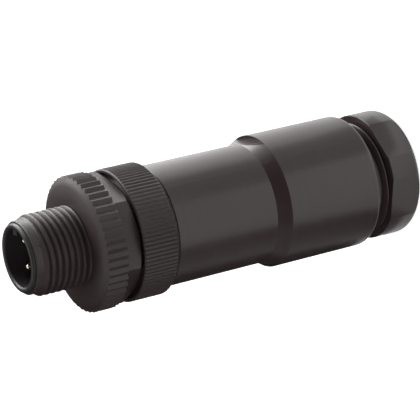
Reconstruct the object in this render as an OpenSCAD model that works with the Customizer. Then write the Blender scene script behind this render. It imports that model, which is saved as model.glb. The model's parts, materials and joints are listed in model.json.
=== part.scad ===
// Straight M12 plug connector that is wired in the field: four pins, screw terminals, cable gland.
// +Z is the common axis. The plug stands on the rear face of its clamping screw with the pins up.
// Lengths along the axis are counted back from the rim of the shroud; up() turns them into Z.

/* [Contacts] */
// Diameter of a contact pin
pin_d = 1.0; // [0.8:0.1:1.2]
// Pitch circle on which the pins stand
pin_pcd = 5.5; // [5.2:0.1:6.6]
// How far the pin tips lie behind the rim of the shroud
pin_recess = 2.1; // [1.0:0.1:4.0]
// How far a pin reaches into its terminal
pin_reach = 2.0; // [1.0:0.1:2.6]
// Diameter of a pin's shank inside the carrier
pin_shank_d = 1.4; // [1.3:0.1:1.6]
// Diameter of the collar that keeps a pin in the carrier
pin_collar_d = 1.8; // [1.7:0.1:2.0]
// Thickness of that collar
pin_collar_t = 0.6; // [0.4:0.1:1.0]

/* [Contact carrier] */
// Inside diameter of the shroud round the pins
shroud_bore_d = 8.5; // [8.0:0.1:10.5]
// Wall of the shroud
shroud_wall = 0.5; // [0.4:0.05:1.0]
// Depth of the socket inside the shroud
socket_depth = 9.0; // [7.0:0.5:12.0]
// Length of the lip that bears on the coupling sleeve
lip_l = 0.5; // [0.4:0.1:1.5]
// How far the lip stands out over the shroud
lip_step = 0.37; // [0.25:0.01:0.8]
// Width of the coding key
key_w = 1.2; // [0.8:0.1:1.6]
// How far the key stands into the socket
key_h = 0.8; // [0.5:0.1:1.0]
// Angle of the key about the axis
key_angle = 45; // [0:1:90]
// Length of the carrier, from the rim of the shroud to its rear face
carrier_l = 19.0; // [18.0:0.5:19.5]
// Section of the seal ring on the carrier
carrier_ring_d = 0.9; // [0.6:0.05:1.2]

/* [Coupling ring] */
// Wall between the bore of the sleeve and the tips of its thread
sleeve_wall = 1.17; // [1.0:0.01:2.0]
// Length of the threaded sleeve
sleeve_l = 8.45; // [6.0:0.05:12.0]
// Length of the plain collar in front of the thread
collar_l = 1.15; // [0.6:0.05:2.0]
// How far the collar lies under the tips of the thread
collar_step = 0.55; // [0.3:0.05:0.8]
// Radial size of the bevel between the front face and the ribs
bevel_r = 1.35; // [0.5:0.05:2.0]
// Axial size of that bevel
bevel_l = 0.7; // [0.3:0.05:1.5]
// Length of the ribbed band
ribs_l = 3.05; // [2.0:0.05:6.0]
// Number of grip ribs
rib_count = 50; // [30:1:60]
// Height of a grip rib
rib_h = 0.33; // [0.15:0.01:0.5]
// How far the ribs stand out over the corners of the hexagon
rib_step = 0.34; // [0.2:0.01:1.0]
// Width of the hexagon across its flats
hex_af = 17.0; // [16.0:0.5:22.0]
// Length of the hexagon
hex_l = 2.95; // [2.0:0.05:5.0]
// Angle of the bevel on the hexagon's corners
hex_bevel_angle = 33; // [15:1:45]
// Angle of a corner of the hexagon about the axis
hex_angle = -5.5; // [-30:0.5:30]

/* [Union ring] */
// Length of the knurled ring
union_l = 5.55; // [4.5:0.05:8.0]
// How far the knurled ring stands out over the front body
union_step = 0.85; // [0.5:0.05:1.5]
// Number of teeth round the knurled ring
knurl_count = 100; // [60:1:120]
// Height of a knurl tooth
knurl_h = 0.15; // [0.1:0.01:0.25]
// Depth of the recess that takes the end of the hexagon
recess_l = 0.9; // [0.8:0.05:1.5]
// How far the hexagon reaches into the recess
nest_l = 0.2; // [0.1:0.05:0.4]
// Wall of the threaded neck
neck_wall = 1.05; // [0.8:0.05:1.6]
// Length of the threaded neck
neck_l = 5.45; // [4.0:0.05:6.5]
// Thickness of the washer between the coupling ring and the union ring
washer_t = 0.45; // [0.3:0.05:0.5]
// Thickness of the gasket between the union ring and the housing
gasket_t = 0.55; // [0.4:0.05:1.0]

/* [Terminals] */
// Depth of a terminal along the spoke on which it lies
terminal_depth = 3.75; // [3.6:0.05:4.6]
// Length of a terminal
terminal_l = 7.0; // [6.5:0.1:9.0]
// Wall of a terminal at its wire slot
terminal_wall = 0.45; // [0.4:0.05:0.7]
// Diameter of a terminal screw, which sets the width of the wire slot
screw_d = 1.5; // [1.2:0.1:1.8]
// Length of a terminal screw
screw_l = 1.85; // [1.6:0.05:2.4]
// Thickness of the plate that a terminal screw presses on the wire
plate_t = 0.4; // [0.3:0.05:0.6]
// Wall of the terminal block outside the terminals
block_wall = 1.25; // [1.0:0.05:2.0]
// Length of the terminal block
block_l = 11.95; // [11.0:0.05:14.0]

/* [Housing] */
// Wall of the front body over the neck of the union ring
housing_wall = 1.12; // [1.0:0.02:2.0]
// Length of the front body, up to the step
front_l = 16.7; // [15.5:0.1:25.0]
// Length of the conical step
step_l = 2.0; // [1.0:0.1:4.0]
// How far the rear body stands out over the front body
body_step = 1.03; // [0.6:0.01:2.5]
// Length of the rear body
rear_l = 16.05; // [15.0:0.05:24.0]
// Radius of the rear body's end
rear_round = 1.05; // [0.5:0.05:1.6]
// Wall between the wiring chamber and the bore of the front body
chamber_step = 0.7; // [0.3:0.05:1.0]
// Thickness of the web between the wiring chamber and the gland
web_t = 2.7; // [1.5:0.1:4.0]
// How far the spanner flats stand out over the front body
flat_step = 0.03; // [0.02:0.01:0.3]
// How far the spanner flats run into the rear body
flat_run = 0.05; // [0.05:0.05:1.0]
// Angle of the spanner flats about the axis
flat_angle = 44; // [0:1:90]

/* [Cable gland] */
// Diameter of the clamping screw's thread
gland_thread_d = 17.4; // [15.0:0.1:17.8]
// Bore of the cable seal, for the thickest cable
cable_d = 6.6; // [5.0:0.1:8.0]
// Bore of the clamping screw
screw_bore_d = 9.2; // [8.4:0.1:11.0]
// Length of the cable seal
seal_l = 5.4; // [4.0:0.1:7.0]
// Length of the clamp cage
cage_l = 3.0; // [2.0:0.1:4.0]
// Number of fingers on the clamp cage
cage_fingers = 8; // [4:1:10]
// Thickness of the gland washer
gland_washer_t = 0.8; // [0.5:0.1:1.5]
// Length of thread that shows between the housing and the screw's head
thread_gap = 2.75; // [1.0:0.05:4.0]
// Length of the screw's head
head_l = 5.05; // [4.0:0.05:9.0]
// How far the head lies inside the outline of the rear body
head_drop = 0.45; // [0.1:0.05:1.0]
// Radius of the head's rear edge
head_round = 1.4; // [0.5:0.1:2.0]
// Angle of a spanner flat of the head about the axis
head_angle = -2.5; // [-30:0.5:30]

/* [Fits] */
// Radial clearance of parts that turn on each other
turn_fit = 0.05; // [0.02:0.01:0.1]
// Clearance between parts that are pushed together
push_fit = 0.1; // [0.05:0.01:0.2]
// Gap between faces that bear on each other
seat_gap = 0.05; // [0.02:0.01:0.1]
// Radial gap round what moves freely
free_gap = 0.35; // [0.3:0.05:0.6]

/* [Hidden] */
$fn = 96;
overlap = 0.5;   // how far a cutting body runs past the face it cuts
way = 4;         // number of contacts, one on each half axis
arc_steps = 8;

black = "#3b3736";
grey = "#4a4544";
rubber = "#2a2827";
gold = "#d8b25c";
brass = "#c2a05a";
steel = "#b9bcc0";

// radii, from the pins outwards
pin_r = pin_d / 2;
pin_shank_r = pin_shank_d / 2;
shroud_bore_r = shroud_bore_d / 2;
shroud_r = shroud_bore_r + shroud_wall;
lip_r = shroud_r + lip_step;
sleeve_bore_r = shroud_r + turn_fit + 0.03;
thread_r = sleeve_bore_r + sleeve_wall;
hex_corner_r = hex_af / 2 / cos(30);
ribs_r = hex_corner_r + rib_step;
slot_w = screw_d + 2 * push_fit;   // wire slot of a terminal, clear of the screw and its plate
terminal_w = slot_w + 2 * terminal_wall;
terminal_in = pin_pcd / 2 - pin_r - terminal_wall;
terminal_out = terminal_in + terminal_depth;
block_r = norm([terminal_out, terminal_w / 2]) + block_wall - 0.15;
neck_bore_r = block_r + push_fit;
neck_r = neck_bore_r + neck_wall;
housing_bore_r = neck_r + turn_fit;
front_r = housing_bore_r + housing_wall;
union_r = front_r + union_step;
rear_r = front_r + body_step;
chamber_r = housing_bore_r - chamber_step;
shank_r = gland_thread_d / 2;
pocket_r = shank_r + turn_fit;
seal_r = pocket_r - free_gap - 0.05;
head_r = rear_r - head_drop;
flat_r = front_r + flat_step;   // spanner flats of the housing and of the screw head

// places along the axis, counted back from the rim of the shroud
s_sleeve = lip_l + seat_gap;
s_face = s_sleeve + sleeve_l;
s_ribs = s_face + bevel_l;
s_hex = s_ribs + ribs_l;
s_hex_end = s_hex + hex_l;
s_union = s_hex_end - nest_l;
s_recess = s_union + recess_l;
s_union_end = s_union + union_l;
s_neck_end = s_union_end + neck_l;
s_housing = s_union_end + gasket_t + seat_gap;
s_step = s_housing + front_l;
s_rear = s_step + step_l;
s_rear_end = s_rear + rear_l;
s_head = s_rear_end + thread_gap;
s_end = s_head + head_l;
s_block = max(carrier_l, s_recess + 1) + seat_gap;
s_block_end = s_block + block_l;
s_terminal_end = s_block_end - 0.5;
s_terminal = s_terminal_end - terminal_l;
s_screw = s_terminal_end - (terminal_l - pin_reach - terminal_wall) / 2;
s_bore_end = s_neck_end + 0.6;
s_web = s_step + 0.15;
s_pocket = s_web + web_t;
s_seal = s_pocket + seat_gap;
s_cage = s_seal + seal_l + seat_gap;
s_washer = s_cage + cage_l + seat_gap;
s_shank = s_washer + gland_washer_t + seat_gap;

// wire slot of a terminal, along its spoke
slot_in = terminal_in + terminal_wall + 0.15;
slot_out = terminal_out - 0.95;
plate_out = slot_out - 0.1;
screw_in = plate_out + seat_gap / 2;

// Z of a place counted back from the rim of the shroud
function up(s) = s_end - s;

// Points of an arc in the half plane (radius, Z)
function arc(c, r, from, to) =
    [for (i = [0 : arc_steps]) let (a = from + (to - from) * i / arc_steps) c + r * [cos(a), sin(a)]];

// Outline with pointed teeth, from root to tip radius
function toothed(count, tip_r, root_r) =
    [for (i = [0 : 2 * count - 1]) let (a = 180 * i / count, r = i % 2 == 0 ? tip_r : root_r) r * [cos(a), sin(a)]];

// Solid of revolution between two places along the axis
module tube(s_from, s_to, r_out, r_in = 0) {
    translate([0, 0, up(s_to)]) difference() {
        cylinder(r = r_out, h = s_to - s_from);
        if (r_in > 0) translate([0, 0, -overlap]) cylinder(r = r_in, h = s_to - s_from + 2 * overlap);
    }
}

// Cutting body for a bore; it reaches past open ends
module bore(s_from, s_to, r, front = 0, rear = 0) {
    translate([0, 0, up(s_to) - rear]) cylinder(r = r, h = s_to - s_from + front + rear);
}

// Prism with six flats; a corner lies at angle
module hexagon(s_from, s_to, af, angle) {
    translate([0, 0, up(s_to)]) rotate([0, 0, angle])
        linear_extrude(height = s_to - s_from) circle(r = af / 2 / cos(30), $fn = 6);
}

// Copies its child onto the spoke of contact n
module on_spoke(n) {
    rotate([0, 0, 90 * (n - 1)]) children();
}

// Threaded sleeve, bevelled grip with pointed ribs, and a hexagon for a torque spanner
module coupling_ring() {
    color(black) difference() {
        union() {
            rotate_extrude() polygon([
                [0, up(s_sleeve)],
                [thread_r - collar_step - 0.15, up(s_sleeve)],
                [thread_r - collar_step, up(s_sleeve + 0.15)],
                [thread_r - collar_step, up(s_sleeve + collar_l)],
                [thread_r, up(s_sleeve + collar_l + collar_step)],
                [thread_r, up(s_face + overlap)],
                [0, up(s_face + overlap)]]);
            intersection() {
                translate([0, 0, up(s_hex)]) linear_extrude(height = s_hex - s_face)
                    polygon(toothed(rib_count, ribs_r, ribs_r - rib_h));
                rotate_extrude() polygon([
                    [0, up(s_face)],
                    [ribs_r - bevel_r, up(s_face)],
                    [ribs_r + 0.01, up(s_ribs)],
                    [ribs_r + 0.01, up(s_hex)],
                    [0, up(s_hex)]]);
            }
            intersection() {
                hexagon(s_hex - overlap, s_hex_end, hex_af, hex_angle);
                rotate_extrude() polygon([
                    [0, up(s_hex - overlap)],
                    [hex_corner_r + 1, up(s_hex - overlap)],
                    [hex_corner_r + 1, up(s_hex_end) + (hex_corner_r + 1 - hex_af / 2) * tan(hex_bevel_angle)],
                    [hex_af / 2 - 0.05, up(s_hex_end)],
                    [0, up(s_hex_end)]]);
            }
        }
        bore(s_sleeve, s_hex_end, sleeve_bore_r, overlap, overlap);
    }
}

// Insulating body: shroud with its lip and key in front, pin holes behind
module contact_carrier() {
    rim_r = (lip_r - shroud_bore_r) / 2 - 0.05;
    color(grey) difference() {
        union() {
            difference() {
                rotate_extrude() polygon(concat(
                    [[0, up(carrier_l)], [shroud_r, up(carrier_l)], [shroud_r, up(lip_l)], [lip_r, up(lip_l)]],
                    arc([lip_r - rim_r, up(rim_r)], rim_r, 0, 90),
                    arc([shroud_bore_r + rim_r, up(rim_r)], rim_r, 90, 180),
                    [[shroud_bore_r, up(socket_depth)], [0, up(socket_depth)]]));
                tube(s_recess + 0.6, s_recess + 0.8 + carrier_ring_d, shroud_r + 1, shroud_r - carrier_ring_d);
            }
            intersection() {
                tube(lip_l * 0.6, socket_depth + overlap, shroud_bore_r + 0.1, shroud_bore_r - key_h);
                rotate([0, 0, key_angle]) translate([0, -key_w / 2, 0]) cube([lip_r, key_w, s_end]);
            }
        }
        for (n = [1 : way]) on_spoke(n) translate([pin_pcd / 2, 0, 0]) {
            bore(socket_depth, carrier_l, pin_shank_r + 0.02, overlap, overlap);
            bore(carrier_l - pin_collar_t - seat_gap, carrier_l, pin_collar_d / 2 + seat_gap, 0, overlap);
        }
    }
}

// Turned contact pin with a round tip, and a shank and a collar inside the carrier
module pin(n) {
    tail = s_terminal + pin_reach;
    color(gold) on_spoke(n) translate([pin_pcd / 2, 0, 0]) {
        tube(pin_recess + pin_r, tail, pin_r);
        intersection() {
            translate([0, 0, up(pin_recess + pin_r)]) sphere(r = pin_r);
            tube(pin_recess - overlap, pin_recess + pin_r + 0.1, pin_r);
        }
        tube(socket_depth, carrier_l, pin_shank_r);
        tube(carrier_l - pin_collar_t, carrier_l, pin_collar_d / 2);
    }
}

// Ring in the carrier's groove; it seals the carrier in the union ring
module carrier_seal_ring() {
    color(rubber) rotate_extrude()
        translate([shroud_r - carrier_ring_d / 2 + seat_gap / 2, up(s_recess + 0.7 + carrier_ring_d / 2)])
            circle(d = carrier_ring_d - seat_gap / 2);
}

// Slip washer between the coupling ring and the floor of the union ring's recess
module thrust_washer() {
    color(steel) tube(s_recess - washer_t - seat_gap / 2, s_recess - seat_gap / 2,
        hex_af / 2 - 0.3, shroud_r + push_fit);
}

// Knurled ring that holds the carrier, with a threaded neck for the housing
module union_ring() {
    color(black) difference() {
        union() {
            intersection() {
                translate([0, 0, up(s_union_end)]) linear_extrude(height = union_l)
                    polygon(toothed(knurl_count, union_r, union_r - knurl_h));
                rotate_extrude() polygon([
                    [0, up(s_union_end)],
                    [union_r - 0.25, up(s_union_end)],
                    [union_r + 0.01, up(s_union_end - 0.26)],
                    [union_r + 0.01, up(s_union + 0.21)],
                    [union_r - 0.2, up(s_union)],
                    [0, up(s_union)]]);
            }
            tube(s_union_end - overlap, s_neck_end, neck_r);
        }
        bore(s_union, s_recess, hex_corner_r - rib_step, overlap, 0);
        bore(s_recess, s_block, shroud_r + push_fit, overlap, overlap);
        bore(s_block - seat_gap, s_neck_end, neck_bore_r, 0, overlap);
    }
}

// Flat gasket with a round edge between the union ring and the housing
module housing_gasket() {
    edge = gasket_t / 2;
    color(rubber) rotate_extrude() polygon(concat(
        [[neck_r + turn_fit, up(s_union_end + gasket_t)], [neck_r + turn_fit, up(s_union_end)]],
        arc([front_r + 0.2 - edge, up(s_union_end + edge)], edge, 90, -90)));
}

// Insulator with four pockets for the terminals
module terminal_block() {
    color(grey) difference() {
        tube(s_block, s_block_end, block_r);
        for (n = [1 : way]) on_spoke(n) {
            translate([terminal_in - push_fit / 2, -terminal_w / 2 - push_fit / 2, up(s_block_end) - overlap])
                cube([terminal_depth + push_fit, terminal_w + push_fit, s_block_end - s_terminal + seat_gap + overlap]);
            translate([pin_pcd / 2, 0, 0]) bore(s_block, s_terminal, pin_r + seat_gap, overlap, overlap);
            translate([terminal_out - 0.1, 0, up(s_screw)]) rotate([0, 90, 0])
                cylinder(r = screw_d / 2 + free_gap, h = block_r);
        }
    }
}

// Cage terminal: pin hole in front, wire slot behind, threaded hole outside
module terminal(n) {
    color(brass) on_spoke(n) difference() {
        translate([terminal_in, -terminal_w / 2, up(s_terminal_end)]) cube([terminal_depth, terminal_w, terminal_l]);
        translate([pin_pcd / 2, 0, 0]) bore(s_terminal, s_terminal + pin_reach, pin_r + 0.02, overlap, 0.2);
        translate([slot_in, -slot_w / 2, up(s_terminal_end) - overlap])
            cube([slot_out - slot_in, slot_w, terminal_l - pin_reach - terminal_wall + overlap]);
        translate([slot_out - 0.1, 0, up(s_screw)]) rotate([0, 90, 0])
            cylinder(r = screw_d / 2 + turn_fit, h = terminal_depth);
    }
}

// Plate that the terminal screw drives against the wire
module pressure_plate(n) {
    color(steel) on_spoke(n)
        translate([plate_out - plate_t, -slot_w / 2 + 0.1, up(s_screw) - 1.6]) cube([plate_t, slot_w - 0.2, 3.2]);
}

// Headless terminal screw with a driver slot
module terminal_screw(n) {
    color(steel) on_spoke(n) translate([screw_in, 0, up(s_screw)]) difference() {
        rotate([0, 90, 0]) cylinder(r = screw_d / 2, h = screw_l);
        translate([screw_l - 0.6, -screw_d, -0.2]) cube([1, 2 * screw_d, 0.4]);
    }
}

// Front body, step with two spanner flats, and rear body with the gland pocket
module housing() {
    color(black) difference() {
        rotate_extrude() polygon(concat(
            [[0, up(s_housing)], [front_r - 0.15, up(s_housing)], [front_r, up(s_housing + 0.15)],
             [front_r, up(s_step)], [rear_r, up(s_rear)]],
            arc([rear_r - rear_round, up(s_rear_end - rear_round)], rear_round, 0, -90),
            [[0, up(s_rear_end)]]));
        for (side = [0, 180]) rotate([0, 0, flat_angle + side])
            translate([flat_r, -rear_r, up(s_rear + flat_run)]) cube([rear_r, 2 * rear_r, step_l + flat_run + overlap]);
        bore(s_housing, s_bore_end, housing_bore_r, overlap, 0);
        bore(s_bore_end, s_web, chamber_r, overlap, 0);
        bore(s_web, s_pocket, cable_d / 2 + 1.2, overlap, overlap);
        bore(s_pocket, s_rear_end, pocket_r, 0, overlap);
    }
}

// Rubber seal with lips that close on the cable
module cable_seal() {
    lips = 3;
    pitch = seal_l / lips;
    color(rubber) difference() {
        tube(s_seal, s_seal + seal_l, seal_r, cable_d / 2);
        for (i = [0 : lips - 1]) tube(s_seal + (i + 0.25) * pitch, s_seal + (i + 0.75) * pitch, cable_d / 2 + 0.4);
    }
}

// Slit cage whose fingers grip the cable
module clamp_cage() {
    color(grey) difference() {
        tube(s_cage, s_cage + cage_l, pocket_r - free_gap, cable_d / 2 + 0.9);
        translate([0, 0, up(s_cage + cage_l * 0.4)])
            cylinder(r1 = cable_d / 2 + 0.9, r2 = cable_d / 2 + 2.1, h = cage_l * 0.4 + 0.01);
        for (i = [0 : cage_fingers - 1]) rotate([0, 0, 360 * (i + 0.5) / cage_fingers])
            translate([0, -0.35, up(s_cage + cage_l * 0.7)]) cube([pocket_r + 1, 0.7, cage_l]);
    }
}

// Washer that keeps the turning screw off the cage
module gland_washer() {
    color(steel) tube(s_washer, s_washer + gland_washer_t, pocket_r - free_gap, cable_d / 2 + 1.2);
}

// Clamping screw: threaded shank, hexagonal head with turned corners, rounded rear
module clamping_screw() {
    mouth = 0.6;
    color(black) difference() {
        union() {
            tube(s_shank, s_head + overlap, shank_r);
            intersection() {
                rotate_extrude() polygon(concat(
                    [[0, up(s_head)], [head_r, up(s_head)]],
                    arc([head_r - head_round, head_round], head_round, 0, -90),
                    [[0, 0]]));
                hexagon(s_head - overlap, s_end, 2 * flat_r, head_angle + 30);
            }
        }
        bore(s_shank, s_end, screw_bore_d / 2, overlap, overlap);
        rotate_extrude() polygon(concat(
            [[0, -overlap], [screw_bore_d / 2 + mouth, -overlap]],
            arc([screw_bore_d / 2 + mouth, mouth], mouth, 270, 180),
            [[0, mouth]]));
    }
}

coupling_ring();
contact_carrier();
pin(1);  // pin_1
pin(2);  // pin_2
pin(3);  // pin_3
pin(4);  // pin_4
carrier_seal_ring();
thrust_washer();
union_ring();
housing_gasket();
terminal_block();
terminal(1);  // terminal_1
terminal(2);  // terminal_2
terminal(3);  // terminal_3
terminal(4);  // terminal_4
pressure_plate(1);  // pressure_plate_1
pressure_plate(2);  // pressure_plate_2
pressure_plate(3);  // pressure_plate_3
pressure_plate(4);  // pressure_plate_4
terminal_screw(1);  // terminal_screw_1
terminal_screw(2);  // terminal_screw_2
terminal_screw(3);  // terminal_screw_3
terminal_screw(4);  // terminal_screw_4
housing();
cable_seal();
clamp_cage();
gland_washer();
clamping_screw();
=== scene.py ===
"""Looks of a straight M12 plug connector with screw terminals and a cable gland.

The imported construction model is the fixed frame, and the plug stands on its clamping screw with
the pins up. This script winds the screw threads that the construction model leaves plain, gives
every piece the finish of its material, and sets up the studio and the camera.
"""

from __future__ import annotations

import json
import logging
import math
from dataclasses import dataclass
from enum import Enum
from functools import lru_cache
from typing import Any, Callable, Iterable

import bpy
from mathutils import Matrix, Vector

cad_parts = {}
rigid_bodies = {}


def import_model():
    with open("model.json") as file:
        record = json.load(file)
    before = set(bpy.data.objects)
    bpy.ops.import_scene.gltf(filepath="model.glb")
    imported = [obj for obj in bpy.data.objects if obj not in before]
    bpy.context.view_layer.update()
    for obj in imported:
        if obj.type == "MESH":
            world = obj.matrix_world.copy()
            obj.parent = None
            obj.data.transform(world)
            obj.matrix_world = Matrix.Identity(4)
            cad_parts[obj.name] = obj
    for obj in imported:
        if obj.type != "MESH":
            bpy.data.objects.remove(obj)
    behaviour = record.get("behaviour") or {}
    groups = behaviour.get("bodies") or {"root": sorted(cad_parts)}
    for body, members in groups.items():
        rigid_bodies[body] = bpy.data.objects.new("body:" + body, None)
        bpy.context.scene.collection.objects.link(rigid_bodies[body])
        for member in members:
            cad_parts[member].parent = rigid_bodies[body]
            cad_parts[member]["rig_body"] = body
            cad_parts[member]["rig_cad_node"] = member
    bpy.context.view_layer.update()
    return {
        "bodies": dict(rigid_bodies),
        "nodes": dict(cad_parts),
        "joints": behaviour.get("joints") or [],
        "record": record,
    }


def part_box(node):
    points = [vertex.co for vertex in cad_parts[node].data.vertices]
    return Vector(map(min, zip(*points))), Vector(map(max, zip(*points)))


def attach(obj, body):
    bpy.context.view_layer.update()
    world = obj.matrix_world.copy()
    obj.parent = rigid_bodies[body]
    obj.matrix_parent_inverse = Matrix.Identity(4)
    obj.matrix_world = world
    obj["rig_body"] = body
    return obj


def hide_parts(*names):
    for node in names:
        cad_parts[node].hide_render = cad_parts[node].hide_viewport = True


LOG = logging.getLogger("m12_plug")
MM = 0.001
CONTACTS = 4

NEAR = 0.01 * MM
"""How close to a radius or height a vertex lies that belongs to it."""
MERGE = 0.001 * MM
"""Size below which edges and faces are merged away."""
NOISE_LOW, NOISE_HIGH = 0.35, 0.65
"""Values between which most of a noise lies."""
ROD_STEPS = 180
"""Sides of the many-sided prism that a round tool is."""

Colour = tuple[float, float, float, float]


def linear(hex_colour: str) -> Colour:
    """Turns an sRGB hex colour into the linear colour that the shaders take.

    Args:
        hex_colour: Colour such as "#3b3736".

    Returns:
        Red, green and blue in linear light, and an alpha of 1.
    """
    channels = [int(hex_colour[i : i + 2], 16) / 255 for i in (1, 3, 5)]
    low = [c / 12.92 for c in channels]
    high = [((c + 0.055) / 1.055) ** 2.4 for c in channels]
    red, green, blue = (lo if c <= 0.04045 else hi for c, lo, hi in zip(channels, low, high))
    return red, green, blue, 1.0


def add_node(
    tree: bpy.types.NodeTree, kind: str, inputs: dict[str | int, Any] | None = None, **settings: Any
) -> bpy.types.Node:
    """Adds a shader node with its settings, values and links.

    Args:
        tree: Node tree that takes the node.
        kind: Node type, such as "ShaderNodeBump".
        inputs: Value or output socket for each input, by its name or number.
        **settings: Properties of the node itself.

    Returns:
        The new node.
    """
    node = tree.nodes.new(kind)
    for name, value in settings.items():
        setattr(node, name, value)
    for name, value in (inputs or {}).items():
        if isinstance(value, bpy.types.NodeSocket):
            tree.links.new(value, node.inputs[name])
        else:
            node.inputs[name].default_value = value
    return node


def new_material(name: str) -> bpy.types.Material:
    """Makes a material with an empty node tree."""
    material = bpy.data.materials.new(name)
    material.use_nodes = True
    material.node_tree.nodes.clear()
    return material


# --------------------------------------------------------------------------- finishes


class Finish:
    """What every finish has: a name, and a material that is made once."""

    name: str

    def shade(self, tree: bpy.types.NodeTree, place: bpy.types.NodeSocket) -> bpy.types.Node:
        """Builds the finish's shader from the place on the piece and returns it."""
        raise NotImplementedError

    @lru_cache(maxsize=None)
    def material(self) -> bpy.types.Material:
        """Makes the material on the first call.

        Returns:
            The material, the same one on each call.
        """
        material = new_material(self.name)
        tree = material.node_tree
        place = add_node(tree, "ShaderNodeTexCoord").outputs["Object"]
        shader = self.shade(tree, place)
        add_node(tree, "ShaderNodeOutputMaterial", {"Surface": shader.outputs["BSDF"]})
        return material


@dataclass(frozen=True)
class MouldedPlastic(Finish):
    """Polyamide straight from its mould.

    The eye gets a dark, even colour with a soft, broad sheen, because the fine grain of the
    mould scatters the light, and slow changes of gloss where the melt cooled unevenly.

    `lines` is how much of the grain is fine rings round the axis, from 0 to 1, and
    `line_stretch` how many times longer than wide they are.
    """

    name: str
    colour: str
    paler: str
    roughness: float
    grain_mm: float = 0.30
    grain_depth_mm: float = 0.012
    grain_detail: float = 0.5
    grain_share: float = 0.6
    cloud_mm: float = 3.0
    cloud_detail: float = 3.0
    gloss_change: float = 0.05
    lines: float = 0.0
    line_mm: float = 0.30
    line_stretch: float = 25.0
    ior: float = 1.53

    def shade(self, tree: bpy.types.NodeTree, place: bpy.types.NodeSocket) -> bpy.types.Node:
        """Builds the shader from grain, clouds of gloss and a slight change of colour.

        Args:
            tree: Node tree of the material.
            place: Place on the piece, in metres.

        Returns:
            The shader node.
        """
        cloud = add_node(
            tree,
            "ShaderNodeTexNoise",
            {"Vector": place, "Scale": 1 / (self.cloud_mm * MM), "Detail": self.cloud_detail},
        )
        # the real grain is about 0.05 mm; it is drawn coarser so that the render shows it
        grain = add_node(
            tree,
            "ShaderNodeTexNoise",
            {"Vector": place, "Scale": 1 / (self.grain_mm * MM), "Detail": self.grain_detail},
        )
        # fine rings round the axis, left in the mould by turning and drawn coarser too
        around = 1 / self.line_stretch
        along = add_node(tree, "ShaderNodeMapping", {"Vector": place, "Scale": (around, around, 1.0)})
        rings = add_node(
            tree,
            "ShaderNodeTexNoise",
            {
                "Vector": along.outputs["Vector"],
                "Scale": 1 / (self.line_mm * MM),
                "Detail": self.grain_detail,
            },
        )
        texture = add_node(
            tree,
            "ShaderNodeMix",
            {0: self.lines, 2: grain.outputs["Fac"], 3: rings.outputs["Fac"]},
        )
        mixed = add_node(
            tree,
            "ShaderNodeMix",
            {0: self.grain_share, 2: cloud.outputs["Fac"], 3: texture.outputs[0]},
        )
        tint = add_node(
            tree,
            "ShaderNodeMix",
            {0: mixed.outputs[0], 6: linear(self.colour), 7: linear(self.paler)},
            data_type="RGBA",
        )
        gloss = add_node(
            tree,
            "ShaderNodeMapRange",
            {
                "Value": mixed.outputs[0],
                "From Min": NOISE_LOW,
                "From Max": NOISE_HIGH,
                "To Min": self.roughness - self.gloss_change,
                "To Max": self.roughness + self.gloss_change,
            },
        )
        bump = add_node(
            tree,
            "ShaderNodeBump",
            {"Height": texture.outputs[0], "Strength": 1.0, "Distance": self.grain_depth_mm * MM},
        )
        return add_node(
            tree,
            "ShaderNodeBsdfPrincipled",
            {
                "Base Color": tint.outputs[2],
                "Roughness": gloss.outputs["Result"],
                "IOR": self.ior,
                "Normal": bump.outputs["Normal"],
            },
        )


@dataclass(frozen=True)
class SealRubber(Finish):
    """Moulded nitrile rubber.

    The eye gets a nearly black, matt surface with paler patches, where wax has come to the
    surface as a faint bloom.
    """

    name: str
    colour: str
    bloom: str
    roughness: float = 0.62
    bloom_mm: float = 1.2
    bloom_detail: float = 4.0
    bloom_depth_mm: float = 0.01
    bloom_strength: float = 0.5
    ior: float = 1.52

    def shade(self, tree: bpy.types.NodeTree, place: bpy.types.NodeSocket) -> bpy.types.Node:
        """Builds the shader from the rubber's colour and its bloom.

        Args:
            tree: Node tree of the material.
            place: Place on the piece, in metres.

        Returns:
            The shader node.
        """
        patch = add_node(
            tree,
            "ShaderNodeTexNoise",
            {"Vector": place, "Scale": 1 / (self.bloom_mm * MM), "Detail": self.bloom_detail},
        )
        tint = add_node(
            tree,
            "ShaderNodeMix",
            {0: patch.outputs["Fac"], 6: linear(self.colour), 7: linear(self.bloom)},
            data_type="RGBA",
        )
        bump = add_node(
            tree,
            "ShaderNodeBump",
            {
                "Height": patch.outputs["Fac"],
                "Strength": self.bloom_strength,
                "Distance": self.bloom_depth_mm * MM,
            },
        )
        return add_node(
            tree,
            "ShaderNodeBsdfPrincipled",
            {
                "Base Color": tint.outputs[2],
                "Roughness": self.roughness,
                "IOR": self.ior,
                "Normal": bump.outputs["Normal"],
            },
        )


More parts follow.
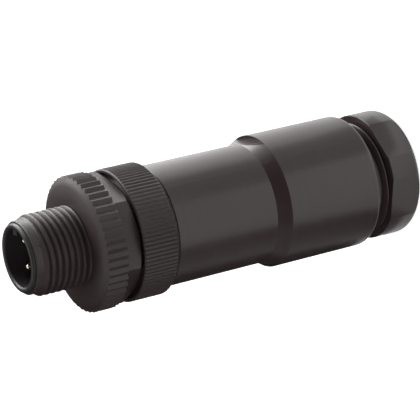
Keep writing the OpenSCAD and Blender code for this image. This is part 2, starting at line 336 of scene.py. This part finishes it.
@dataclass(frozen=True)
class WorkedMetal(Finish):
    """Drawn, turned or plated metal with fine tool lines along one axis of the piece.

    The eye gets a coloured mirror, broken by lines that are finer than the piece itself.
    """

    name: str
    colour: str
    stained: str
    roughness: float
    stain_mm: float = 1.5
    stain_detail: float = 4.0
    line_mm: float = 0.08
    line_depth_mm: float = 0.001
    line_detail: float = 2.0
    line_stretch: float = 20.0

    def shade(self, tree: bpy.types.NodeTree, place: bpy.types.NodeSocket) -> bpy.types.Node:
        """Builds the shader from the metal's colour, its stains and its tool lines.

        Args:
            tree: Node tree of the material.
            place: Place on the piece, in metres.

        Returns:
            The shader node.
        """
        stain = add_node(
            tree,
            "ShaderNodeTexNoise",
            {"Vector": place, "Scale": 1 / (self.stain_mm * MM), "Detail": self.stain_detail},
        )
        around = 1 / self.line_stretch
        along = add_node(tree, "ShaderNodeMapping", {"Vector": place, "Scale": (around, around, 1.0)})
        lines = add_node(
            tree,
            "ShaderNodeTexNoise",
            {
                "Vector": along.outputs["Vector"],
                "Scale": 1 / (self.line_mm * MM),
                "Detail": self.line_detail,
            },
        )
        tint = add_node(
            tree,
            "ShaderNodeMix",
            {0: stain.outputs["Fac"], 6: linear(self.colour), 7: linear(self.stained)},
            data_type="RGBA",
        )
        bump = add_node(
            tree,
            "ShaderNodeBump",
            {"Height": lines.outputs["Fac"], "Strength": 1.0, "Distance": self.line_depth_mm * MM},
        )
        return add_node(
            tree,
            "ShaderNodeBsdfPrincipled",
            {
                "Base Color": tint.outputs[2],
                "Metallic": 1.0,
                "Roughness": self.roughness,
                "Normal": bump.outputs["Normal"],
            },
        )


class Stock(Enum):
    """The finishes that the plug's pieces are made in."""

    # Polyamide with glass fibre, moulded in a turned and polished mould: the smoothest plastic of
    # the plug, brownish black, with a clear sheen along its length and faint rings round it.
    SHELL = MouldedPlastic(
        "glass_filled_polyamide",
        "#322727",
        "#3c3131",
        roughness=0.30,
        grain_depth_mm=0.005,
        gloss_change=0.02,
        lines=0.85,
        line_mm=0.8,
    )
    # The same plastic from a spark-eroded mould, rough for the fingers: matt, with a fine grain.
    GRIP = MouldedPlastic("coarse_moulded_polyamide", "#2f2424", "#352929", roughness=0.48)
    # The knurl comes from such a mould too, a little rougher. Its colour is darker still, as painted
    # shade for the shade that its narrow grooves hold.
    KNURL = MouldedPlastic("knurled_polyamide_painted_shade", "#281c1c", "#2e2222", roughness=0.50)
    # Unfilled polyamide for the insulators, black and nearly even, with a finer grain.
    INSULATOR = MouldedPlastic("polyamide_insulator", "#211d1e", "#282425", roughness=0.46, grain_mm=0.2)
    # Nitrile rubber, pressed in a heated mould: black and matt.
    SEAL = SealRubber("nitrile_rubber", "#1c1a1a", "#262424")
    # Turned brass with a pale, bright plating: small, nearly white lights at the pins' tips.
    CONTACT = WorkedMetal("pale_plated_brass", "#efe8db", "#ddd2be", roughness=0.20)
    # Brass drawn to a bar and milled: yellow, with a soft shine along the tool lines.
    CLAMP = WorkedMetal("drawn_brass", "#d9b36a", "#c39a52", roughness=0.30)
    # Stamped or turned steel with blue-white zinc: grey, cool and a little dull.
    HARDWARE = WorkedMetal("zinc_plated_steel", "#c9ccd0", "#b3b8bf", roughness=0.32)


def dress(nodes: Iterable[bpy.types.Object], stock: Stock) -> None:
    """Gives pieces or construction nodes one finish.

    Args:
        nodes: Objects that get the finish.
        stock: Finish that they get.
    """
    for node in nodes:
        node.data.materials.clear()
        node.data.materials.append(stock.value.material())


# --------------------------------------------------------------------------- mesh work


def select_only(piece: bpy.types.Object) -> None:
    """Deselects everything and makes one object the selected and active one."""
    bpy.ops.object.select_all(action="DESELECT")
    piece.select_set(True)
    bpy.context.view_layer.objects.active = piece


def edit(piece: bpy.types.Object, pick: Callable[[Vector], bool] | None = None) -> None:
    """Enters edit mode with the picked vertices selected, or with all of them.

    Args:
        piece: Object to edit.
        pick: Says of a vertex's place whether it is selected.
    """
    select_only(piece)
    bpy.ops.object.mode_set(mode="EDIT")
    bpy.ops.mesh.select_mode(type="VERT")
    bpy.ops.mesh.select_all(action="DESELECT" if pick else "SELECT")
    bpy.ops.object.mode_set(mode="OBJECT")
    if pick:
        for vertex in piece.data.vertices:
            vertex.select = pick(vertex.co)
    bpy.ops.object.mode_set(mode="EDIT")


def done() -> None:
    """Leaves edit mode."""
    bpy.ops.object.mode_set(mode="OBJECT")


def apply_modifier(piece: bpy.types.Object, kind: str, **settings: Any) -> None:
    """Adds a modifier with its settings and applies it.

    Args:
        piece: Object that takes the modifier.
        kind: Modifier type, such as "SCREW".
        **settings: Properties of the modifier.
    """
    select_only(piece)
    modifier = piece.modifiers.new(kind.lower(), kind)
    for name, value in settings.items():
        setattr(modifier, name, value)
    bpy.ops.object.modifier_apply(modifier=modifier.name)


def combine(piece: bpy.types.Object, tool: bpy.types.Object, operation: str) -> None:
    """Joins a solid to a piece or cuts it away, and removes the tool.

    Args:
        piece: Piece that is changed.
        tool: Solid that is joined or cut away.
        operation: "UNION" or "DIFFERENCE".
    """
    apply_modifier(piece, "BOOLEAN", operation=operation, solver="EXACT", object=tool)
    bpy.data.objects.remove(tool)


def rod(radius: float, length: float) -> bpy.types.Object:
    """Makes a round rod on the common axis, as a tool for cutting.

    Args:
        radius: Radius in metres.
        length: Length in metres, half of it below the floor.

    Returns:
        The rod.
    """
    bpy.ops.object.select_all(action="DESELECT")
    bpy.ops.mesh.primitive_cylinder_add(vertices=ROD_STEPS, radius=radius, depth=length)
    return bpy.context.object


def widest(node: bpy.types.Object) -> float:
    """Finds how far a node reaches from the common axis."""
    return max(vertex.co.xy.length for vertex in node.data.vertices)


def radius_at(node: bpy.types.Object, height: float) -> float:
    """Finds how far a node reaches from the common axis at one height.

    Args:
        node: Construction node.
        height: Height of a rim or shoulder of the node, in metres.

    Returns:
        The largest radius among the node's vertices at that height.
    """
    return max(v.co.xy.length for v in node.data.vertices if abs(v.co.z - height) < NEAR)


def shank_ends(node: bpy.types.Object, radius: float, above: float = 0.0) -> tuple[float, float]:
    """Finds where a node's plain shank begins and ends.

    Args:
        node: Construction node.
        radius: Radius of the shank, in metres.
        above: Height below which the node's vertices don't count, in metres.

    Returns:
        The heights of the shank's lower and upper end.
    """
    rims = [v.co.z for v in node.data.vertices if abs(v.co.xy.length - radius) < NEAR and v.co.z > above]
    return min(rims), max(rims)


def spherical(azimuth: float, elevation: float) -> Vector:
    """Gives a direction from its angles.

    Args:
        azimuth: Degrees from +X towards +Y.
        elevation: Degrees above the floor.

    Returns:
        The unit vector.
    """
    a, e = math.radians(azimuth), math.radians(elevation)
    return Vector((math.cos(a) * math.cos(e), math.sin(a) * math.cos(e), math.sin(e)))


@dataclass(frozen=True)
class ScrewThread:
    """A right-handed screw thread that is wound on a plain shank of a construction node.

    The shank has the thread's outside radius in the construction model. A copy of the node is
    turned down to the root, and one ridge is wound on it.

    Sizes are in metres. The ridge is `crest_width` wide at its tip and `root_width` at its foot,
    and runs from `low` to `high`. One crest passes `crest_height` at `crest_azimuth`, in radians.
    `smooth_angle` is in degrees: sharper edges of the piece stay sharp. The shares are shares of
    the depth: how far the ridge is sunk in the root, how near the crest its tip is picked, and
    how deep the lead-in ends.
    """

    piece_name: str
    pitch: float
    depth: float
    crest_width: float
    root_width: float
    rounding: float
    low: float
    high: float
    crest_height: float
    crest_azimuth: float
    lead_in: float = 0.0
    smooth_angle: float = 32.0
    steps_a_turn: int = 72
    rounding_steps: int = 3
    sunk_share: float = 0.15
    tip_share: float = 0.10
    lead_in_share: float = 1.10

    def wind(
        self,
        node: bpy.types.Object,
        outside: float,
        sleeve: bpy.types.Object | None = None,
        collar: bpy.types.Object | None = None,
    ) -> bpy.types.Object:
        """Makes the threaded copy of a node.

        Args:
            node: Construction node with the plain shank.
            outside: Radius of the plain shank, in metres.
            sleeve: A solid to cut away from the copy first.
            collar: A solid to join to the copy.

        Returns:
            The piece with its thread.
        """
        body = self._turned_down(node, outside)
        if sleeve:
            combine(body, sleeve, "DIFFERENCE")
        ridge = self._ridge(outside)
        for solid in (ridge, collar):
            if solid:
                combine(body, solid, "UNION")
        # the joins leave a few faces without area
        edit(body)
        bpy.ops.mesh.dissolve_degenerate(threshold=MERGE)
        done()
        bpy.ops.object.shade_smooth_by_angle(angle=math.radians(self.smooth_angle))
        return body

    def _turned_down(self, node: bpy.types.Object, outside: float) -> bpy.types.Object:
        """Copies the node and shrinks its shank to the root radius.

        Args:
            node: Construction node with the plain shank.
            outside: Radius of the plain shank, in metres.

        Returns:
            The copy.
        """
        body = node.copy()
        body.data = node.data.copy()
        body.name = self.piece_name
        body.parent = None
        # the copy is a piece of its own, and no longer a construction node
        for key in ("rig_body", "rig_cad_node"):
            del body[key]
        bpy.context.scene.collection.objects.link(body)
        select_only(body)
        bpy.ops.mesh.customdata_custom_splitnormals_clear()
        # the node's mesh is loose triangles, which become one closed skin
        edit(body)
        bpy.ops.mesh.remove_doubles(threshold=MERGE)
        done()
        root = (outside - self.depth) / outside
        edit(body, lambda p: abs(p.xy.length - outside) < NEAR and p.z > self.low - NEAR)
        bpy.ops.transform.resize(value=(root, root, 1.0), center_override=(0.0, 0.0, 0.0))
        done()
        return body

    def _ridge(self, outside: float) -> bpy.types.Object:
        """Winds the ridge of the thread as a closed coil.

        Args:
            outside: Radius of the thread over its crests, in metres.

        Returns:
            The coil.
        """
        sunk = self.sunk_share * self.depth
        turns = (self.high - self.low) / self.pitch
        steps = round(self.steps_a_turn * turns)
        start = self.crest_azimuth + math.tau * (self.low - self.crest_height) / self.pitch
        bpy.ops.mesh.primitive_plane_add(size=1.0, rotation=(math.pi / 2, 0.0, 0.0))
        ridge = bpy.context.object
        ridge.scale = (self.depth + sunk, self.root_width, 1.0)
        ridge.location = (outside - (self.depth - sunk) / 2 - sunk, 0.0, self.low)
        bpy.ops.object.transform_apply(location=True, rotation=True, scale=True)
        tip = outside - self.tip_share * self.depth
        edit(ridge, lambda p: p.x > tip)
        bpy.ops.transform.resize(
            value=(1.0, 1.0, self.crest_width / self.root_width), center_override=(outside, 0.0, self.low)
        )
        bpy.ops.mesh.bevel(offset=self.rounding, segments=self.rounding_steps, affect="VERTICES")
        bpy.ops.mesh.select_all(action="SELECT")
        bpy.ops.mesh.delete(type="ONLY_FACE")
        done()
        apply_modifier(
            ridge,
            "SCREW",
            axis="Z",
            angle=math.tau * turns,
            screw_offset=self.pitch * turns,
            steps=steps,
            render_steps=steps,
        )
        edit(ridge)
        bpy.ops.mesh.fill_holes(sides=0)
        bpy.ops.mesh.normals_make_consistent(inside=False)
        done()
        ridge.data.transform(Matrix.Rotation(start, 4, "Z"))
        self._run_out(ridge, outside)
        return ridge

    def _run_out(self, ridge: bpy.types.Object, outside: float) -> None:
        """Cuts the ridge's upper end down to a cone, as a lead-in for the mating part.

        Args:
            ridge: The wound coil.
            outside: Radius of the thread over its crests, in metres.
        """
        if not self.lead_in:
            return
        foot = outside - self.lead_in_share * self.depth
        for vertex in ridge.data.vertices:
            below = self.high - vertex.co.z
            limit = outside - self.lead_in + max(below, 0.0)
            reach = vertex.co.xy.length
            if limit < reach and limit < outside:
                vertex.co.xy *= max(limit, foot) / reach


# --------------------------------------------------------------------------- the plug


@dataclass
class Plug:
    """What the sub-assemblies share: the frame, and how a piece joins a body."""

    frame: dict[str, Any]

    def node(self, name: str) -> bpy.types.Object:
        """Looks up a construction node by name."""
        return self.frame["nodes"][name]

    def dress(self, stock: Stock, *names: str) -> None:
        """Gives construction nodes one finish and reports it.

        Args:
            stock: Finish of the nodes.
            *names: Names of the nodes.
        """
        dress([self.node(name) for name in names], stock)
        LOG.info("%s: %s", stock.value.name, ", ".join(names))

    def seat(self, piece: bpy.types.Object, node: str, body: str, stock: Stock) -> None:
        """Puts a piece in a construction node's place.

        Args:
            piece: New piece.
            node: Construction node that it stands for.
            body: Body that it rides on.
            stock: Finish of the piece.
        """
        dress([piece], stock)
        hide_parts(node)
        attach(piece, body)
        LOG.info("%s: %d faces on %s", piece.name, len(piece.data.polygons), body)

    def mount(self, name: str) -> dict[str, Any]:
        """Looks up a mount of the record by name."""
        return next(mount for mount in self.frame["record"]["mounts"] if mount["name"] == name)


@dataclass
class CouplingRing(Plug):
    """The threaded sleeve with its ribbed grip and hexagon."""

    pitch: float = 1.0 * MM
    depth: float = 0.58 * MM
    crest_width: float = 0.30 * MM
    root_width: float = 0.90 * MM
    rounding: float = 0.11 * MM
    sunk_in_flange: float = 0.3 * MM
    past_tip: float = 0.5 * MM
    crest_height: float = 61.27 * MM
    crest_azimuth: float = math.radians(-32.5)
    lead_in: float = 0.55 * MM

    def build(self) -> None:
        """Winds the M12 thread and dresses the ring."""
        node = self.node("coupling_ring")
        outside = self.mount("m12_thread")["dims"]["r_mm"] * MM
        flange, tip = shank_ends(node, outside)
        thread = ScrewThread(
            piece_name="threaded_coupling_ring",
            pitch=self.pitch,
            depth=self.depth,
            crest_width=self.crest_width,
            root_width=self.root_width,
            rounding=self.rounding,
            low=flange - self.sunk_in_flange,
            high=tip + self.past_tip,
            crest_height=self.crest_height,
            crest_azimuth=self.crest_azimuth,
            lead_in=self.lead_in,
        )
        self.seat(thread.wind(node, outside), "coupling_ring", "coupling", Stock.GRIP)


@dataclass
class Insert(Plug):
    """The carrier with its contacts and terminals, and the union ring that holds it."""

    pitch: float = 1.0 * MM
    depth: float = 0.50 * MM
    crest_width: float = 0.18 * MM
    root_width: float = 0.80 * MM
    rounding: float = 0.05 * MM
    plain_end: float = 0.6 * MM
    sunk_in_ring: float = 0.3 * MM
    crest_height: float = 40.0 * MM
    crest_azimuth: float = 0.0

    def build(self) -> None:
        """Dresses the insulators, contacts, clamps and seals, and winds the union ring's thread."""
        numbers = range(1, CONTACTS + 1)
        self.dress(Stock.INSULATOR, "contact_carrier", "terminal_block")
        self.dress(Stock.CONTACT, *(f"pin_{n}" for n in numbers))
        self.dress(Stock.CLAMP, *(f"terminal_{n}" for n in numbers))
        self.dress(Stock.HARDWARE, "thrust_washer", *(f"pressure_plate_{n}" for n in numbers))
        self.dress(Stock.HARDWARE, *(f"terminal_screw_{n}" for n in numbers))
        self.dress(Stock.SEAL, "carrier_seal_ring", "housing_gasket")
        node = self.node("union_ring")
        outside = radius_at(node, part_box("union_ring")[0].z)
        neck_end, ring = shank_ends(node, outside)
        thread = ScrewThread(
            piece_name="threaded_union_ring",
            pitch=self.pitch,
            depth=self.depth,
            crest_width=self.crest_width,
            root_width=self.root_width,
            rounding=self.rounding,
            low=neck_end + self.plain_end,
            high=ring + self.sunk_in_ring,
            crest_height=self.crest_height,
            crest_azimuth=self.crest_azimuth,
        )
        self.seat(thread.wind(node, outside), "union_ring", "insert", Stock.KNURL)


@dataclass
class Shell(Plug):
    """The housing with the cable seal, the clamp cage and the clamping screw.

    The construction model's hexagonal head is cut down to a core. A collar takes its place: it is
    round, with two pairs of flats for a spanner, so that its front edge runs in waves.

    `shank_above` is a height inside the head: vertices below it aren't the shank's.
    """

    pitch: float = 1.5 * MM
    depth: float = 1.00 * MM
    crest_width: float = 0.26 * MM
    root_width: float = 1.15 * MM
    rounding: float = 0.08 * MM
    sunk_in_head: float = 0.4 * MM
    plain_end: float = 0.7 * MM
    crest_height: float = 5.86 * MM
    crest_azimuth: float = math.radians(-32.5)
    smooth_angle: float = 16.0
    head_length: float = 5.35 * MM
    head_round: float = 1.40 * MM
    head_steps: int = 240
    head_round_steps: int = 8
    chamfer: float = 0.12 * MM
    chamfer_steps: int = 2
    flat_radius: float = 9.15 * MM
    flat_azimuths: tuple[float, ...] = (-2.5, -62.5, 177.5, 117.5)
    core_radius: float = 7.50 * MM
    core_overlap: float = 0.40 * MM
    clear_of_head: float = 1.2
    shank_above: float = 4.0 * MM

    def build(self) -> None:
        """Dresses the pieces, and gives the clamping screw its thread and its head."""
        self.dress(Stock.SHELL, "housing")
        self.dress(Stock.SEAL, "cable_seal")
        self.dress(Stock.INSULATOR, "clamp_cage")
        self.dress(Stock.HARDWARE, "gland_washer")
        node = self.node("clamping_screw")
        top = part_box("clamping_screw")[1].z
        outside = radius_at(node, top)
        head, _ = shank_ends(node, outside, self.shank_above)
        thread = ScrewThread(
            piece_name="threaded_clamping_screw",
            pitch=self.pitch,
            depth=self.depth,
            crest_width=self.crest_width,
            root_width=self.root_width,
            rounding=self.rounding,
            low=head - self.sunk_in_head,
            high=top - self.plain_end,
            crest_height=self.crest_height,
            crest_azimuth=self.crest_azimuth,
            smooth_angle=self.smooth_angle,
        )
        screw = thread.wind(node, outside, self._sleeve(node), self._collar(node))
        self.seat(screw, "clamping_screw", "gland", Stock.SHELL)

    def _collar(self, node: bpy.types.Object) -> bpy.types.Object:
        """Makes the round outside of the screw's head, with two pairs of flats.

        Args:
            node: Construction node of the clamping screw.

        Returns:
            The collar, to be joined to the threaded screw.
        """
        radius = widest(node)
        bpy.ops.object.select_all(action="DESELECT")
        bpy.ops.mesh.primitive_cylinder_add(
            vertices=self.head_steps,
            radius=radius,
            depth=self.head_length,
            location=(0.0, 0.0, self.head_length / 2),
        )
        collar = bpy.context.object
        bpy.ops.object.transform_apply(location=True, rotation=True, scale=True)
        # the rear rim is well rounded, and the front one only broken
        edit(collar, lambda p: p.z < self.chamfer)
        bpy.ops.mesh.bevel(offset=self.head_round, segments=self.head_round_steps, affect="EDGES")
        done()
        edit(collar, lambda p: p.z > self.head_length - self.chamfer / 2)
        bpy.ops.mesh.bevel(offset=self.chamfer, segments=self.chamfer_steps, affect="EDGES")
        done()
        for azimuth in self.flat_azimuths:
            bpy.ops.object.select_all(action="DESELECT")
            bpy.ops.mesh.primitive_cube_add(
                size=2 * radius,
                location=spherical(azimuth, 0) * (self.flat_radius + radius),
                rotation=(0.0, 0.0, math.radians(azimuth)),
            )
            combine(collar, bpy.context.object, "DIFFERENCE")
        combine(collar, rod(self.core_radius - self.core_overlap, 4 * self.head_length), "DIFFERENCE")
        return collar

    def _sleeve(self, node: bpy.types.Object) -> bpy.types.Object:
        """Makes the sleeve that is cut away from the plain head, so that its core is left.

        Args:
            node: Construction node of the clamping screw.

        Returns:
            The sleeve.
        """
        sleeve = rod(self.clear_of_head * widest(node), 2 * (self.head_length - self.chamfer))
        combine(sleeve, rod(self.core_radius, 4 * self.head_length), "DIFFERENCE")
        return sleeve


# --------------------------------------------------------------------------- studio


@dataclass(frozen=True)
class Softbox:
    """An area lamp that looks at the middle of the plug.

    Angles are in degrees, sizes in metres and the power in watts. A lamp that isn't `mirrored`
    lights the plug but doesn't show in its gloss.
    """

    name: str
    azimuth: float
    elevation: float
    distance: float
    width: float
    height: float
    power: float
    mirrored: bool = True

    def hang(self, target: Vector) -> None:
        """Hangs the lamp.

        Args:
            target: Point that the lamp looks at.
        """
        lamp = bpy.data.lights.new(self.name, "AREA")
        lamp.shape = "RECTANGLE"
        lamp.size, lamp.size_y = self.width, self.height
        lamp.energy = self.power
        holder = bpy.data.objects.new(self.name, lamp)
        away = spherical(self.azimuth, self.elevation)
        holder.location = target + away * self.distance
        holder.rotation_euler = away.to_track_quat("Z", "Y").to_euler()
        holder.visible_glossy = self.mirrored
        bpy.context.scene.collection.objects.link(holder)


@dataclass(frozen=True)
class Card:
    """A card bent round the plug, out of the camera's sight, for the plug's gloss to mirror.

    It runs from `azimuth` through `span`, in degrees, and from the distance `inside` to `reach`,
    in metres. It lies on the floor at `base` where it covers the floor, and its outer edge is
    turned up as a wall to `top`.
    """

    name: str
    colour: str
    azimuth: float
    span: float
    inside: float
    reach: float
    base: float = 0.5 * MM
    top: float = 0.6 * MM
    covers_floor: bool = True
    steps: int = 24

    def stand(self) -> None:
        """Bends the card round the plug's axis and stands it on the stage."""
        bpy.ops.object.select_all(action="DESELECT")
        middle = ((self.inside + self.reach) / 2, 0.0, (self.base + self.top) / 2)
        bpy.ops.mesh.primitive_plane_add(size=1.0, location=middle, rotation=(math.pi / 2, 0.0, 0.0))
        card = bpy.context.object
        card.name = self.name
        card.scale = (self.reach - self.inside, self.top - self.base, 1.0)
        bpy.ops.object.transform_apply(location=True, rotation=True, scale=True)
        edit(card, lambda p: p.x < middle[0] and (p.z > middle[2] or not self.covers_floor))
        bpy.ops.mesh.delete(type="VERT")
        done()
        span = math.radians(self.span)
        apply_modifier(card, "SCREW", axis="Z", angle=span, steps=self.steps, render_steps=self.steps)
        card.data.transform(Matrix.Rotation(math.radians(self.azimuth), 4, "Z"))
        material = new_material(self.name)
        tree = material.node_tree
        paper = add_node(tree, "ShaderNodeBsdfDiffuse", {"Color": linear(self.colour)})
        add_node(tree, "ShaderNodeOutputMaterial", {"Surface": paper.outputs["BSDF"]})
        card.data.materials.append(material)
        card.visible_camera = False
        card.visible_shadow = False


@dataclass(frozen=True)
class Studio:
    """Floor, surroundings, lamps and camera."""

    floor_size: float = 3.0
    floor_colour: str = "#f4f4f4"
    floor_roughness: float = 0.9
    background: str = "#ffffff"
    daylight: float = 0.15
    floor_glow: float = 0.55
    camera_glow: float = 0.25
    camera_azimuth: float = -32.5
    camera_elevation: float = 27.886
    camera_distance: float = 333.474 * MM
    camera_roll: float = -103.48
    camera_lens: float = 191.23
    camera_sensor: float = 36.0
    camera_clip: tuple[float, float] = (0.01, 20.0)
    aim: tuple[float, float, float] = (0.205 * MM, 0.322 * MM, 32.02 * MM)

    def build(self) -> None:
        """Sets up the whole studio."""
        middle = Vector(self.aim)
        self._view_settings()
        self._surroundings()
        self._floor()
        self._lamps(middle)
        self._cards()
        self._camera(middle)

    def _lamps(self, middle: Vector) -> None:
        """Hangs two upright strips on the lit side, and a broad softbox near the camera.

        Args:
            middle: Point that the lamps look at.
        """
        for name, azimuth in (("near_strip", 77.5), ("far_strip", 97.5)):
            Softbox(
                name, azimuth, elevation=18, distance=0.16, width=0.056, height=0.16, power=0.22
            ).hang(middle)
        Softbox(
            "front_softbox",
            azimuth=-62.5,
            elevation=35,
            distance=0.45,
            width=0.20,
            height=0.20,
            power=0.80,
            mirrored=False,
        ).hang(middle)

    def _cards(self) -> None:
        """Stands the cards: two with walls, four flat ones round the foot, and a far wall."""
        walls = {"inside": 20 * MM, "reach": 100 * MM, "top": 160 * MM}
        far = {"inside": 500 * MM, "reach": 550 * MM, "base": 80 * MM, "top": 900 * MM}
        for card in (
            Card("side_card", "#aaaaaa", azimuth=-142.5, span=60, **walls),
            Card("back_card", "#2c2c2c", azimuth=-232.5, span=90, **walls),
            Card("nut_card", "#c0c0c0", azimuth=-142.5, span=60, inside=12 * MM, reach=21 * MM),
            Card("foot_card", "#2c2c2c", azimuth=-232.5, span=45, inside=10 * MM, reach=21 * MM),
            Card("lamp_side_card", "#e6e6e6", azimuth=-2.5, span=52, inside=12 * MM, reach=110 * MM),
            Card("rear_card", "#a8a8a8", azimuth=112.5, span=15, inside=10.5 * MM, reach=17 * MM),
            Card("room_card", "#1c1c1c", azimuth=-107.5, span=150, covers_floor=False, **far),
        ):
            card.stand()

    def _view_settings(self) -> None:
        """Shows colours as they are written."""
        bpy.context.scene.view_settings.view_transform = "Standard"

    def _seen(self, tree: bpy.types.NodeTree) -> bpy.types.NodeSocket:
        """Tells whether the camera sees a point, straight, mirrored or through glass.

        Args:
            tree: Node tree of the floor or the world.

        Returns:
            A socket that is 1 for such rays.
        """
        path = add_node(tree, "ShaderNodeLightPath")
        either = add_node(
            tree,
            "ShaderNodeMath",
            {0: path.outputs["Is Camera Ray"], 1: path.outputs["Is Glossy Ray"]},
            operation="MAXIMUM",
        )
        return add_node(
            tree,
            "ShaderNodeMath",
            {0: either.outputs[0], 1: path.outputs["Is Transmission Ray"]},
            operation="MAXIMUM",
        ).outputs[0]

    def _surroundings(self) -> None:
        """Makes the world a white room with a plain level of light."""
        world = bpy.data.worlds.new("white_room")
        world.use_nodes = True
        tree = world.node_tree
        tree.nodes.clear()
        strength = add_node(
            tree,
            "ShaderNodeMapRange",
            {"Value": self._seen(tree), "To Min": self.daylight, "To Max": 1.0},
        )
        back = add_node(
            tree,
            "ShaderNodeBackground",
            {"Color": linear(self.background), "Strength": strength.outputs["Result"]},
        )
        add_node(tree, "ShaderNodeOutputWorld", {"Surface": back.outputs["Background"]})
        bpy.context.scene.world = world

    def _floor(self) -> None:
        """Lays the pale floor on which the plug stands."""
        bpy.ops.object.select_all(action="DESELECT")
        bpy.ops.mesh.primitive_plane_add(size=self.floor_size)
        floor = bpy.context.object
        floor.name = "studio_floor"
        material = new_material("white_paper")
        tree = material.node_tree
        glow = add_node(
            tree,
            "ShaderNodeMapRange",
            {"Value": self._seen(tree), "To Min": 0.0, "To Max": self.floor_glow},
        )
        camera = add_node(tree, "ShaderNodeLightPath").outputs["Is Camera Ray"]
        total = add_node(
            tree,
            "ShaderNodeMath",
            {0: camera, 1: self.camera_glow, 2: glow.outputs["Result"]},
            operation="MULTIPLY_ADD",
        )
        paper = add_node(
            tree,
            "ShaderNodeBsdfPrincipled",
            {
                "Base Color": linear(self.floor_colour),
                "Roughness": self.floor_roughness,
                "Emission Color": linear(self.background),
                "Emission Strength": total.outputs[0],
            },
        )
        add_node(tree, "ShaderNodeOutputMaterial", {"Surface": paper.outputs["BSDF"]})
        floor.data.materials.append(material)

    def _camera(self, middle: Vector) -> None:
        """Places the camera, rolled so that the plug's axis runs up to the right.

        Args:
            middle: Point that the camera looks at.
        """
        lens = bpy.data.cameras.new("camera")
        lens.lens = self.camera_lens
        lens.sensor_width = self.camera_sensor
        lens.clip_start, lens.clip_end = self.camera_clip
        camera = bpy.data.objects.new("camera", lens)
        away = spherical(self.camera_azimuth, self.camera_elevation)
        level = away.to_track_quat("Z", "Y").to_matrix().to_4x4()
        roll = Matrix.Rotation(math.radians(self.camera_roll), 4, "Z")
        place = Matrix.Translation(middle + away * self.camera_distance)
        camera.matrix_world = place @ level @ roll
        bpy.context.scene.collection.objects.link(camera)
        bpy.context.scene.camera = camera


def main() -> None:
    """Builds the plug's looks and its studio."""
    logging.basicConfig(level=logging.INFO, format="%(name)s: %(message)s")
    bpy.ops.object.select_all(action="SELECT")
    bpy.ops.object.delete()
    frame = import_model()
    Studio().build()
    for assembly in (CouplingRing(frame), Insert(frame), Shell(frame)):
        assembly.build()


if __name__ == "__main__":
    main()
